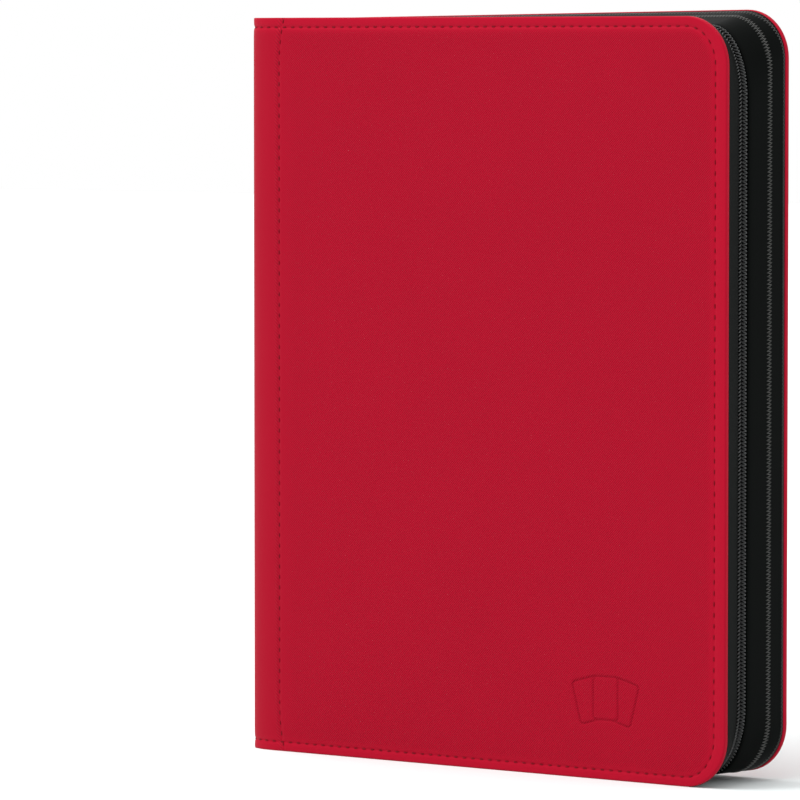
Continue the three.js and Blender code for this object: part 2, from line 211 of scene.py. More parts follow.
def red_cover_finish():
    """Twill-grained PU: woven inside the seams and smooth on the rim and the fold, with the smooth rim
    painted lighter as a painted sheen.
    """
    finish = Finish("red_twill_pu", linear(153, 8, 34), 0.5, Specular_IOR_Level=0.05)
    cloth = finish.node("ShaderNodeSeparateXYZ", {0: finish.attribute("cloth").outputs["Vector"]})
    woven, rim, seam, pressed = [
        finish.attribute(name).outputs["Fac"] for name in ("woven", "rim", "seam", "pressed")
    ]
    rising = finish.math("SUBTRACT", cloth.outputs[0], cloth.outputs[1])
    falling = finish.add(cloth.outputs[0], cloth.outputs[1])

    def waves(place, period_mm, share):
        return finish.times(finish.math("SINE", finish.times(place, 2 * math.pi / period_mm)), share)

    weave = finish.times(finish.add(waves(rising, 1.2, 0.7), waves(falling, 0.95, 0.3)), woven)
    # Painted shade and highlight: the puckers beside the fold's seam are painted as light and dark
    # stripes, as well as bumped.
    pucker = waves(falling, 1.6, seam)
    grain = finish.noise(0.5, 2.0)
    mottle = finish.noise(60.0, 3.0)
    shade = finish.add(finish.times(weave, 0.4), finish.times(pucker, 0.22))
    shade = finish.add(shade, finish.ramp(mottle, 0.97, 1.03))
    shade = finish.add(shade, finish.ramp(grain, -0.02, 0.02))
    # Painted shade: the emblem's pressed lines are painted darker, on top of being pressed into the
    # surface.
    shade = finish.math("SUBTRACT", shade, finish.times(pressed, 0.14))
    # Painted sheen: the smooth rim is painted lighter than the woven panel.
    finish.tint(finish.add(shade, finish.times(rim, 0.13)))
    finish.rough(finish.add(finish.times(woven, 0.6), finish.times(grain, 0.4)), 0.42, 0.62)
    relief = finish.add(weave, finish.times(grain, 0.5))
    finish.bump(finish.add(relief, finish.times(pucker, 1.2)), 0.08)
    return finish.material


def grained_black(name, color, low, high, grain_mm, depth_mm, specular=0.2):
    """Black PU or plastic with a fine grain and a slow change in shade and gloss."""
    finish = Finish(name, color, low, Specular_IOR_Level=specular)
    grain = finish.noise(grain_mm, 3.0)
    cloud = finish.noise(35.0, 2.0)
    finish.tint(finish.add(finish.ramp(cloud, 0.85, 1.1), finish.ramp(grain, -0.1, 0.1)))
    finish.rough(finish.times(finish.add(grain, cloud), 0.5), low, high)
    finish.bump(grain, depth_mm)
    return finish.material


def thread_finish(name, color):
    """Twisted sewing thread."""
    finish = Finish(name, color, 0.55, Specular_IOR_Level=0.12)
    place = finish.object_place()
    strand = finish.node("ShaderNodeTexWave", {"Scale": 900.0, "Distortion": 1.5, "Vector": place})
    strand.bands_direction = "DIAGONAL"
    finish.tint(finish.ramp(strand.outputs["Fac"], 0.75, 1.15))
    finish.bump(strand.outputs["Fac"], 0.05)
    return finish.material


def coil_finish():
    """Nylon, painted lighter where the turns stand proud and darker in the middle of the zip: a painted
    highlight on the outer bends and painted shade between the turns.
    """
    finish = Finish("nylon_coil", linear(74, 74, 74), 0.3, Specular_IOR_Level=0.4)
    outer = finish.attribute("outer").outputs["Fac"]
    grain = finish.noise(0.6, 2.0)
    # Painted highlight and shade: the base colour goes from near black in the middle of the zip up to
    # full at the turns' outer bends.
    proud = finish.times(outer, outer)
    finish.tint(finish.add(finish.ramp(proud, 0.06, 1.1), finish.ramp(grain, -0.06, 0.06)))
    finish.rough(grain, 0.25, 0.42)
    finish.bump(grain, 0.01)
    return finish.material


def tape_finish():
    """The zip's woven tape: fine ribs along it."""
    finish = Finish("woven_zip_tape", linear(12, 12, 12), 0.85, Specular_IOR_Level=0.05)
    place = finish.node("ShaderNodeSeparateXYZ", {0: finish.object_place()})
    ribs = finish.math("SINE", finish.times(place.outputs[1], 2 * math.pi / (0.8 * MM)))
    cross = finish.noise(0.4, 2.0)
    weave = finish.add(finish.times(ribs, 0.4), cross)
    finish.tint(finish.ramp(weave, 0.8, 1.25))
    finish.bump(weave, 0.08)
    return finish.material


def metal_finish():
    """Black enamelled zinc, worn a little paler where it rubs."""
    finish = Finish("black_enamel", linear(40, 40, 42), 0.35, Metallic=0.6, Specular_IOR_Level=0.4)
    scuff = finish.noise(1.5, 4.0)
    edge = finish.node("ShaderNodeNewGeometry").outputs["Pointiness"]
    worn = finish.node("ShaderNodeMapRange", {0: edge, 1: 0.52, 2: 0.62, 3: 0.0, 4: 0.9}).outputs[0]
    finish.tint(finish.add(finish.ramp(scuff, 0.85, 1.1), worn))
    finish.rough(scuff, 0.28, 0.5)
    finish.bump(scuff, 0.02)
    return finish.material


def film_finish():
    """Clear film over nine pockets, with a dotted weld round each one.

    The weld's lines are placed in millimetres across and up the film."""
    finish = Finish("clear_pocket_film", linear(150, 153, 156), 0.12, Specular_IOR_Level=0.35, Alpha=0.1)
    generated = finish.node("ShaderNodeTexCoord").outputs["Generated"]
    place = finish.node("ShaderNodeSeparateXYZ", {0: generated})
    across = finish.times(place.outputs[0], 226.0)
    up = finish.times(place.outputs[2], 290.0)
    side_lines = finish.math("PINGPONG", finish.math("SUBTRACT", across, 5.2), 36.5)
    level_lines = finish.math("PINGPONG", finish.math("SUBTRACT", up, 1.0), 48.0)
    on_side = finish.math("LESS_THAN", side_lines, 0.9)
    on_level = finish.math("LESS_THAN", level_lines, 0.9)
    dots_up = finish.math("GREATER_THAN", finish.math("SINE", finish.times(up, 3.6)), -0.1)
    dots_across = finish.math("GREATER_THAN", finish.math("SINE", finish.times(across, 3.6)), -0.1)
    weld = finish.math("MAXIMUM", finish.times(on_side, dots_up), finish.times(on_level, dots_across))
    ripple = finish.noise(45.0, 2.0)
    finish.join(finish.ramp(weld, 0.1, 0.5), finish.shader.inputs["Alpha"])
    finish.tint(finish.add(finish.ramp(ripple, 0.9, 1.05), finish.times(weld, -0.5)))
    finish.rough(weld, 0.1, 0.5)
    finish.bump(finish.add(ripple, finish.times(weld, 0.5)), 0.08)
    return finish.material


def board_finish(name, color):
    """Grey board or foam, seen only where it is cut."""
    finish = Finish(name, color, 0.92, Specular_IOR_Level=0.1)
    fibre = finish.noise(0.9, 5.0)
    finish.tint(finish.ramp(fibre, 0.8, 1.15))
    finish.bump(fibre, 0.1)
    return finish.material


def floor_finish():
    finish = Finish("pale_floor", linear(224, 229, 229), 0.7, Specular_IOR_Level=0.1)
    finish.tint(finish.ramp(finish.noise(300.0, 2.0), 0.985, 1.015))
    return finish.material


RED = red_cover_finish()
GUSSET = grained_black("gusset_pu", linear(7, 9, 8), 0.4, 0.6, 0.7, 0.03, 0.03)
LINING = grained_black("lining_pu", linear(11, 11, 11), 0.38, 0.58, 0.9, 0.02, 0.06)
SHEET = grained_black("pocket_sheet", linear(27, 27, 27), 0.45, 0.65, 0.6, 0.02, 0.06)
RUBBER = grained_black("pull_rubber", linear(36, 35, 34), 0.5, 0.72, 0.5, 0.03, 0.1)
COIL = coil_finish()
RED_THREAD = thread_finish("red_thread", linear(118, 1, 20))
BLACK_THREAD = thread_finish("black_thread", linear(104, 104, 102))
TAPE = tape_finish()
METAL = metal_finish()
FILM = film_finish()
BOARD = board_finish("grey_board", linear(143, 134, 117))
FOAM = board_finish("white_foam", linear(217, 214, 204))


# ---- making pieces ----


def lifted(points):
    """Points with the back cover's lift, which dies away towards the zip and the spine."""
    moved = np.array(points, float)
    across = np.clip((moved[:, 0] - SPINE_X) / (OPEN_X - SPINE_X), 0, 1)
    depth = np.clip((moved[:, 1] - LIFT_START) / (INNER_Y - LIFT_START), 0, 1)
    moved[:, 2] += LIFT * across * depth
    return moved


def add_piece(name, points, faces, material, floats=None, vectors=None):
    """A smooth mesh object from points in millimetres, with optional point attributes."""
    mesh = bpy.data.meshes.new(name)
    mesh.from_pydata((np.asarray(points, float) * MM).tolist(), [], faces)
    for key, values in (floats or {}).items():
        flat = np.asarray(values, np.float32)
        mesh.attributes.new(key, "FLOAT", "POINT").data.foreach_set("value", flat)
    for key, values in (vectors or {}).items():
        flat = np.asarray(values, np.float32).ravel()
        mesh.attributes.new(key, "FLOAT_VECTOR", "POINT").data.foreach_set("vector", flat)
    mesh.polygons.foreach_set("use_smooth", np.ones(len(mesh.polygons), bool))
    mesh.materials.append(material)
    piece = bpy.data.objects.new(name, mesh)
    bpy.context.scene.collection.objects.link(piece)
    return piece


def weld(piece):
    """Joins points that lie on each other."""
    work = bmesh.new()
    work.from_mesh(piece.data)
    bmesh.ops.remove_doubles(work, verts=work.verts, dist=0.001 * MM)
    work.to_mesh(piece.data)
    work.free()


def face_outwards(piece):
    """Makes every face of a closed piece look out of it."""
    work = bmesh.new()
    work.from_mesh(piece.data)
    bmesh.ops.recalc_face_normals(work, faces=work.faces)
    work.to_mesh(piece.data)
    work.free()


def shade_flat(piece):
    piece.data.polygons.foreach_set("use_smooth", np.zeros(len(piece.data.polygons), bool))


def turn_faces_towards(piece, direction, at):
    """Flips all faces if the one nearest to a point looks away from a direction."""
    spot = Vector([value * MM for value in at])
    nearest = min(piece.data.polygons, key=lambda face: (face.center - spot).length_squared)
    if nearest.normal.dot(Vector(direction)) < 0:
        piece.data.flip_normals()


def settle(piece):
    """Replaces the mesh with what its modifiers make of it."""
    graph = bpy.context.evaluated_depsgraph_get()
    made = bpy.data.meshes.new_from_object(piece.evaluated_get(graph))
    piece.modifiers.clear()
    piece.data = made
    return piece


def thicken(piece, thickness_mm):
    modifier = piece.modifiers.new("thickness", "SOLIDIFY")
    modifier.thickness = thickness_mm * MM
    modifier.offset = -1
    return settle(piece)


def soften(piece, width_mm, segments=2, angle=35):
    """Rounds a piece's sharp edges."""
    modifier = piece.modifiers.new("edges", "BEVEL")
    modifier.width = width_mm * MM
    modifier.segments = segments
    modifier.limit_method = "ANGLE"
    modifier.angle_limit = math.radians(angle)
    modifier.harden_normals = False
    return piece


def spread(start, end, step):
    """Even steps from start up to, but not at, end."""
    count = max(1, round(abs(end - start) / step))
    return np.linspace(start, end, count + 1)[:-1]


def grid_faces(columns, rows, first=0):
    """Quads over points that are numbered row by row within each column."""
    corner = first + np.arange(columns - 1)[:, None] * rows + np.arange(rows - 1)[None, :]
    corner = corner.ravel()
    return np.stack([corner, corner + 1, corner + rows + 1, corner + rows], 1).tolist()


def ring_faces(rings, sides, first=0):
    """Quads between closed rings of points that are numbered ring by ring, and a face over each end."""
    near = np.arange(sides)
    end = first + (rings - 1) * sides
    faces = []
    for start in range(first, end, sides):
        a, b = start + near, start + (near + 1) % sides
        faces += np.stack([a, b, b + sides, a + sides], 1).tolist()
    return faces + [(first + near)[::-1].tolist(), (end + near).tolist()]


# ---- the cover sheets: flat panel, soft fold and half of the spine ----


def cover_stations():
    """Stations from the opening side to the middle of the spine.

    Each has x, distance from the middle plane, lean, panel thickness and place along the cloth."""
    flat = np.concatenate([
        spread(CORNER_X, 98, 4.0),
        spread(98, 48, 0.5),
        spread(48, SEAM_X + 4, 6.0),
        spread(SEAM_X + 4, FOLD_START, 0.45),
    ])
    turn = np.linspace(0, math.pi / 2, 19)
    spine = np.linspace(SPINE_HALF, 0, 6)[1:]
    width = FOLD_START - SPINE_X
    x = np.concatenate([flat, FOLD_START - width * np.sin(turn), np.full(len(spine), SPINE_X)])
    middle = np.concatenate([
        np.full(len(flat), OUTER_Y),
        OUTER_Y - FOLD_DEPTH * (1 - np.cos(turn)),
        spine,
    ])
    lean = np.concatenate([
        np.zeros(len(flat)),
        np.arctan2(FOLD_DEPTH * np.sin(turn), width * np.cos(turn)),
        np.full(len(spine), math.pi / 2),
    ])
    steps = np.hypot(np.diff(x), np.diff(middle))
    along = CORNER_X - np.concatenate([[0], np.cumsum(steps)])
    spine_start = along[len(flat) + len(turn) - 1]
    thickness = np.interp(
        -along,
        [-SEAM_X, -FOLD_START, -spine_start, -spine_start + 2.5],
        [PANEL, FOLD_THICKNESS, FOLD_THICKNESS, PANEL],
    )
    return x, middle, lean, thickness, along


STATIONS = cover_stations()
ROWS = np.concatenate([spread(CORNER, 49, 0.5), spread(49, HEIGHT - CORNER, 7.0), [HEIGHT - CORNER]])
CORNER_ANGLES = np.radians(np.linspace(0, 90, 15)[1:-1])


def seam_flare(z):
    """How far the fold's seam wanders towards the opening side near its two ends."""
    from_end = np.minimum(z, HEIGHT - z)
    return SEAM_FLARE * np.clip(1 - from_end / 22, 0, 1) ** 2


def emblem_press(x, z):
    """How deep the emblem's outlines are pressed in at a point of the front cover."""
    width, height, radius = EMBLEM_CARD
    press = np.zeros(np.broadcast(x, z).shape)
    for shift_x, shift_z, angle in EMBLEM_FAN:
        turn = math.radians(angle)
        dx = x - EMBLEM_CENTRE[0] - shift_x
        dz = z - EMBLEM_CENTRE[1] - shift_z
        along = np.abs(dx * math.cos(turn) + dz * math.sin(turn)) - width + radius
        up = np.abs(dz * math.cos(turn) - dx * math.sin(turn)) - height + radius
        outside = np.hypot(np.maximum(along, 0), np.maximum(up, 0))
        distance = outside + np.minimum(np.maximum(along, up), 0) - radius
        line = np.clip(1.5 - np.abs(distance) / EMBLEM_LINE, 0, 1)
        press = np.where(distance < 0, 0, press)
        press = np.maximum(press, line * EMBLEM_DEPTH)
    return press


def cover_sheet(name, side, loops, material, emblem=False, seam_depth=0.0):
    """One sheet over a cover and half the spine.

    loops go from the inside to the rim: inset at the opening side, inset at top and bottom,
    depth under the outer face, share of the panel thickness to add, and how woven it is."""
    x, middle, lean, thickness, along = STATIONS
    points, cloth, woven, rim, seam, pressed, faces = [], [], [], [], [], [], []

    def put(station_x, station_middle, station_lean, z, depth, cloth_x, weave):
        """Adds a block of points, with what their material needs to know."""
        near_seam = np.exp(-(((station_x - SEAM_X) / 5.0) ** 2)) * (station_lean < 0.3)
        moved_x = station_x + seam_flare(z) * near_seam
        total = np.maximum(depth, seam_depth * np.exp(-(((station_x - SEAM_X) / 0.8) ** 2)))
        spot = np.stack(np.broadcast_arrays(
            moved_x + total * np.sin(station_lean),
            side * (station_middle - total * np.cos(station_lean)),
            z,
        ), -1)
        fade = np.clip((station_x - SEAM_X - 1.0) / 5.0, 0, 1)
        points.append(spot.reshape(-1, 3))
        flat_cloth = np.stack(np.broadcast_arrays(-side * cloth_x, z, 0.0 * z), -1)
        cloth.append(flat_cloth.reshape(-1, 3))
        woven.append(np.broadcast_to(weave * fade, spot.shape[:-1]).ravel())
        # rim is 1 where the cloth is smooth; the red material paints a sheen there.
        rim.append(np.full(spot.shape[:-1], 1.0 - weave).ravel())
        beside = np.exp(-(((station_x - SEAM_X + 1.4) / 1.2) ** 2))
        seam.append(np.broadcast_to(beside, spot.shape[:-1]).ravel())
        # pressed marks the emblem's lines, which the red material paints darker as painted shade in the
        # grooves.
        mark = emblem_press(station_x, z) / EMBLEM_DEPTH if emblem else 0.0
        pressed.append(np.broadcast_to(mark, spot.shape[:-1]).ravel())

    column_x, row_z = x[:, None], ROWS[None, :]
    base_depth = loops[0][2] + loops[0][3] * thickness[:, None]
    if emblem:
        base_depth = base_depth + emblem_press(column_x, row_z)
    put(column_x, middle[:, None], lean[:, None], row_z, base_depth, along[:, None], loops[0][4])
    faces += grid_faces(len(x), len(ROWS))

    first = len(x) * len(ROWS)
    for inset_x, inset_z, depth, share, weave in loops:
        full = depth + share * thickness
        side_depth = depth + share * PANEL
        low = np.full(len(x), float(inset_z))
        corner_x = CORNER_X + (CORNER - inset_x) * np.sin(CORNER_ANGLES)
        corner_z = CORNER - (CORNER - inset_z) * np.cos(CORNER_ANGLES)
        side_x = np.full(len(ROWS), OPEN_X - inset_x)
        put(x[::-1], middle[::-1], lean[::-1], low, full[::-1], along[::-1], weave)
        put(corner_x, OUTER_Y, 0.0, corner_z, side_depth, corner_x, weave)
        put(side_x, OUTER_Y, 0.0, ROWS, side_depth, side_x, weave)
        corner_x, corner_z = corner_x[::-1], HEIGHT - corner_z[::-1]
        put(corner_x, OUTER_Y, 0.0, corner_z, side_depth, corner_x, weave)
        put(x, middle, lean, HEIGHT - low, full, along, weave)
    per_loop = sum(len(block) for block in points[1:]) // len(loops)
    faces += [face[::-1] for face in grid_faces(len(loops), per_loop, first)]
    piece = add_piece(
        name, lifted(np.concatenate(points)), faces, material,
        floats={
            "woven": np.concatenate(woven),
            "rim": np.concatenate(rim),
            "seam": np.concatenate(seam),
            "pressed": np.concatenate(pressed),
        },
        vectors={"cloth": np.concatenate(cloth)},
    )
    weld(piece)
    return piece


# The rounding of a skin's edge: its width, and its depth as a part of its own and a share of the panel.
EDGE = 0.75
EDGE_OWN, EDGE_SHARE = 0.15, 0.2
RIM_PRESS = 0.12
EDGE_TURNS = np.radians([0, 22.5, 45, 67.5, 90])


def skin_loops():
    """From the panel, over the stitched seam and the smooth rim, round the edge to the inner flange."""
    loops = [
        (CORNER, CORNER, 0, 0, 1), (18, 18, 0, 0, 1), (14, 13, 0, 0, 1),
        (11, 9.5, 0, 0, 1), (9.4, 7.6, 0.03, 0, 0.9), (8.0, 6.2, 0.09, 0, 0.5),
        (7.2, 5.4, 0.2, 0, 0), (6.7, 4.9, 0.42, 0, 0), (6.3, 4.5, 0.6, 0, 0),
        (5.9, 4.1, 0.46, 0, 0), (5.4, 3.6, 0.26, 0, 0), (4.5, 3.0, 0.16, 0, 0),
        (2.8, 2.2, RIM_PRESS, 0, 0), (1.5, 1.4, RIM_PRESS, 0, 0),
    ]
    for turn in EDGE_TURNS:
        inset, bend = EDGE * (1 - math.sin(turn)), 1 - math.cos(turn)
        loops.append((inset, inset, RIM_PRESS + EDGE_OWN * bend, EDGE_SHARE * bend, 0))
    for turn in EDGE_TURNS:
        inset, bend = EDGE * (1 - math.cos(turn)), 1 - math.sin(turn)
        loops.append((inset, inset, -EDGE_OWN * bend, 1 - EDGE_SHARE * bend, 0))
    return loops + [(1.6, 1.6, 0, 1, 0), (2.6, 2.6, 0, 1, 0)]


LINING_THICKNESS = 0.22
LINING_PROUD = 0.3
# The lining has a pressed line near its edge, and thins out at the edge itself.
LINING_LOOPS = [
    (inset, inset, depth, 1, 0)
    for inset, depth in [
        (CORNER, LINING_PROUD), (16, LINING_PROUD),
        (12.9, LINING_PROUD), (12.4, 0.16), (11.9, LINING_PROUD),
        (8, LINING_PROUD), (3, LINING_PROUD), (2.1, 0.26), (1.75, 0.08),
    ]
]


def bend_at_fold(piece):
    """Bakes a cover sheet's placement into its points; the turn from its cover to the spine is already
    in its shape.
    """
    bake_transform(piece)


def add_cover_sheets(name):
    side = SIDES[name]
    skin = cover_sheet(
        f"{name}_cover_wrap", side, skin_loops(), RED, emblem=side == FRONT, seam_depth=SEAM_DEPTH
    )
    turn_faces_towards(skin, (0, side, 0), (0, side * OUTER_Y, HEIGHT / 2))
    thicken(skin, SKIN)
    lining = cover_sheet(f"{name}_lining", side, LINING_LOOPS, LINING)
    turn_faces_towards(lining, (0, -side, 0), (0, side * INNER_Y, HEIGHT / 2))
    thicken(lining, LINING_THICKNESS)
    bend_at_fold(skin)
    bend_at_fold(lining)
    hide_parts(f"{name}_cover_skin", "spine_skin")
    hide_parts(f"{name}_cover_lining", "spine_lining")


# ---- stitches on the covers ----


def even_places(points, pitch):
    """For even stitches on a polyline: the point before each, and its share of the way to the next."""
    steps = np.linalg.norm(np.diff(points, axis=0), axis=1)
    run = np.concatenate([[0], np.cumsum(steps)])
    places = np.arange(pitch / 2, run[-1], pitch)
    index = np.clip(np.searchsorted(run, places, side="right") - 1, 0, len(steps) - 1)
    share = (places - run[index]) / steps[index]
    return index, share


def stitches(points, normals, pitch, length, radius):
    """Short lengths of thread along a line: each rises from its hole, lies flat and dives again."""
    index, share = even_places(points, pitch)
    half = [(0.5, -0.55, 0.45), (0.36, 0.05, 0.9), (0.12, 0.35, 1.0)]
    shape = [(-along, rise, width) for along, rise, width in half] + half[::-1]
    sides = 6
    turns = np.arange(sides) * 2 * math.pi / sides
    verts, faces = [], []
    for i, t in zip(index, share):
        centre = points[i] * (1 - t) + points[i + 1] * t
        normal = normals[i] * (1 - t) + normals[i + 1] * t
        normal /= np.linalg.norm(normal)
        tangent = points[i + 1] - points[i]
        tangent /= np.linalg.norm(tangent)
        beside = np.cross(normal, tangent)
        first = len(verts)
        for along, rise, width in shape:
            middle = centre + tangent * along * length + normal * rise * radius
            for turn in turns:
                spoke = beside * math.cos(turn) + normal * math.sin(turn)
                verts.append(middle + radius * width * spoke)
        faces += ring_faces(len(shape), sides, first)
    return verts, faces


def seam_line(side, inset_x, inset_z, depth):
    """The stitched line round a cover's three free edges, from the spine and back to it."""
    x, middle, lean = STATIONS[:3]
    reach_x, reach_z = CORNER - inset_x, CORNER - inset_z
    angles = np.radians(np.linspace(0, 90, 40))
    low = np.stack([
        x + depth * np.sin(lean),
        side * (middle - depth * np.cos(lean)),
        np.full(len(x), inset_z),
    ], 1)
    low_normals = np.stack([-np.sin(lean), side * np.cos(lean), np.zeros(len(x))], 1)
    corner = np.stack([
        CORNER_X + reach_x * np.sin(angles),
        np.full(len(angles), side * (OUTER_Y - depth)),
        CORNER - reach_z * np.cos(angles),
    ], 1)
    lower = np.concatenate([low[::-1][1:], corner[1:]])
    upper = lower[::-1] * [1, 1, -1] + [0, 0, HEIGHT]
    flat = np.tile([0.0, side, 0.0], (len(corner) - 1, 1))
    lower_normals = np.concatenate([low_normals[::-1][1:], flat])
    return np.concatenate([lower, upper]), np.concatenate([lower_normals, lower_normals[::-1]])


def add_cover_stitches(name):
    side = SIDES[name]
    verts, faces = stitches(*seam_line(side, *RIM_STITCH_LINE), STITCH_PITCH, *RIM_STITCH)
    z = np.linspace(1.2, HEIGHT - 1.2, 200)
    seam = np.stack([SEAM_X + seam_flare(z), np.full(len(z), side * (OUTER_Y - SEAM_DEPTH)), z], 1)
    outward = np.tile([0.0, side, 0.0], (len(z), 1))
    more, more_faces = stitches(seam, outward, STITCH_PITCH, *SEAM_STITCH)
    faces += [[k + len(verts) for k in face] for face in more_faces]
    piece = add_piece(f"{name}_cover_stitches", lifted(verts + more), faces, RED_THREAD)
    bend_at_fold(piece)


# ---- boards and foam inside the covers and the spine ----


def cover_outline(inset, start_x):
    """A panel's outline: square towards the spine, round at the two opening corners."""
    angles = np.radians(np.linspace(-90, 0, 13))
    reach = CORNER - inset
    low = np.stack([CORNER_X + reach * np.cos(angles), CORNER + reach * np.sin(angles)], 1)
    high = low[::-1] * [1, -1] + [0, HEIGHT]
    return np.concatenate([[(start_x, inset)], low, high, [(start_x, HEIGHT - inset)]])


def plate(name, outline, y_from, y_to, material):
    """A flat plate with softened edges, from an outline of x and z."""
    count = len(outline)
    verts = [(x, y_from, z) for x, z in outline] + [(x, y_to, z) for x, z in outline]
    piece = add_piece(name, lifted(verts), ring_faces(2, count), material)
    face_outwards(piece)
    shade_flat(piece)
    soften(piece, 0.15)
    return settle(piece)


def add_inner_layers():
    """A foam and a board, each between two depths, in both covers and in the spine."""
    layers = [("foam", 0.7, 1.3, FOAM), ("board", 1.35, 2.6, BOARD)]
    edge = 1.1
    for name, side in SIDES.items():
        for layer, outer, inner, material in layers:
            outline = cover_outline(edge, SEAM_X + SEAM_FLARE + 1.2)
            depths = side * (OUTER_Y - outer), side * (OUTER_Y - inner)
            piece = plate(f"{name}_{layer}_panel", outline, *depths, material)
            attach(piece, f"{name}_cover")
            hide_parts(f"{name}_cover_{layer}")
    for layer, outer, inner, material in layers:
        low, high = SPINE_X + outer, SPINE_X + inner
        outline = np.array([(low, edge), (high, edge), (high, HEIGHT - edge), (low, HEIGHT - edge)])
        piece = plate(f"spine_{layer}_strip", outline, -SPINE_HALF + 1, SPINE_HALF - 1, material)
        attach(piece, "spine")
        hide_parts(f"spine_{layer}")


# ---- the zip band ----


def band_length(inset):
    return 2 * STRAIGHT + math.pi * (CORNER - inset) + UPRIGHT


def band_place(run, inset):
    """x, z and the inward direction at a run along the band.

    The run goes from the bottom of the spine round the opening side to the top of the spine."""
    run = np.asarray(run, float)
    reach = CORNER - inset
    arc = math.pi / 2 * reach
    low_turn = np.clip((run - STRAIGHT) / reach, 0, math.pi / 2)
    high_turn = np.clip((run - STRAIGHT - arc - UPRIGHT) / reach, 0, math.pi / 2)
    turn = low_turn + high_turn
    inward_x, inward_z = -np.sin(turn), np.cos(turn)
    before = np.minimum(run - STRAIGHT, 0)
    rise = np.clip(run - STRAIGHT - arc, 0, UPRIGHT)
    after = np.maximum(run - STRAIGHT - 2 * arc - UPRIGHT, 0)
    x = CORNER_X + before - after - inward_x * reach
    z = CORNER + rise - inward_z * reach
    return x, z, inward_x, inward_z


def band_stations(start):
    """Runs along the band, close together where it turns."""
    arc = math.pi / 2 * CORNER
    knots = np.cumsum([start, STRAIGHT - start, arc, UPRIGHT, arc, STRAIGHT - start])
    steps = [6.0, 1.6, 6.0, 1.6, 6.0]
    parts = [spread(knots[k], knots[k + 1], step) for k, step in enumerate(steps)]
    return np.concatenate(parts + [knots[-1:]])


def round_wider(x, y, z, inset):
    """x and z of the soft band's points, brought onto a larger corner the nearer they are to the zip."""
    half_depth = np.where(y > ZIP_Y, INNER_Y - ZIP_Y, INNER_Y + ZIP_Y)
    near_zip = 0.5 + 0.5 * np.cos(math.pi * np.clip(np.abs(y - ZIP_Y) / half_depth, 0, 1))
    wider, taller = CORNER_WIDER * near_zip, CORNER_TALLER * near_zip
    from_end = np.minimum(z, HEIGHT - z)
    across = np.maximum(x - CORNER_X + wider, 0)
    up = np.maximum(CORNER + taller - from_end, 0)
    reach = CORNER - inset
    beyond = np.maximum(np.hypot(across / (reach + wider), up / (reach + taller)), 1)
    from_end = from_end + up * (1 - 1 / beyond)
    return x - across * (1 - 1 / beyond), np.where(z > HEIGHT / 2, HEIGHT - from_end, from_end)


def fold_limit(x):
    """How far from the middle plane a piece may reach at this distance from the spine."""
    station_x, middle = STATIONS[0], STATIONS[1]
    return np.interp(-x, -station_x, middle) - PANEL


def sweep(name, section, material, start):
    """A band with one closed section of (y, inset) all the way round."""
    runs = band_stations(start)
    x0, z0, inward_x, inward_z = band_place(runs, 0.0)
    rings = []
    for y, inset in section:
        x, z = round_wider(x0 + inward_x * inset, y, z0 + inward_z * inset, inset)
        limit = np.maximum(fold_limit(x), 3.0)
        rings.append(np.stack([x, np.clip(y, -limit, limit), z], 1))
    points = np.stack(rings, 1).reshape(-1, 3)
    piece = add_piece(name, lifted(points), ring_faces(len(runs), len(section)), material)
    face_outwards(piece)
    return piece


GUSSET_ROWS = 11


def gusset_section(side):
    """A folded strip of PU: bowed a little outwards, with a round fold beside the zip."""
    near = ZIP_Y + side * 3.9
    far = side * (INNER_Y + 0.2)
    span = abs(far - near)
    outer = [
        (near + side * span * t, 3.5 - 3.1 * t**1.3 - 0.4 * math.sin(math.pi * t))
        for t in np.linspace(0.06, 1, GUSSET_ROWS)
    ]
    fold = [(0.35, 3.62), (0.08, 3.95), (0.0, 4.3), (0.1, 4.7), (0.5, 4.95)]
    inner = [(far - side * span * 0.5, 4.4), (far, 3.2)]
    return outer[::-1] + [(near + side * y, inset) for y, inset in fold] + inner


def gusset_inset(y, side):
    """The inset of a gusset's outer surface at a depth."""
    section = sorted((abs(point - ZIP_Y), inset) for point, inset in gusset_section(side)[:GUSSET_ROWS])
    return float(np.interp(abs(y - ZIP_Y), [p[0] for p in section], [p[1] for p in section]))


def tube(points, radius, sides):
    """A round tube along a polyline, with frames that don't twist."""
    points = np.asarray(points, float)
    tangents = np.gradient(points, axis=0)
    tangents /= np.linalg.norm(tangents, axis=1)[:, None]
    across = np.cross(tangents[0], [0.3, 0.5, 0.8])
    turns = np.arange(sides) * 2 * math.pi / sides
    cosines, sines = np.cos(turns)[:, None], np.sin(turns)[:, None]
    verts = []
    for point, tangent in zip(points, tangents):
        across = across - tangent * across.dot(tangent)
        across /= np.linalg.norm(across)
        beside = np.cross(tangent, across)
        verts.append(point + radius * (cosines * across + sines * beside))
    return np.concatenate(verts), ring_faces(len(points), sides)


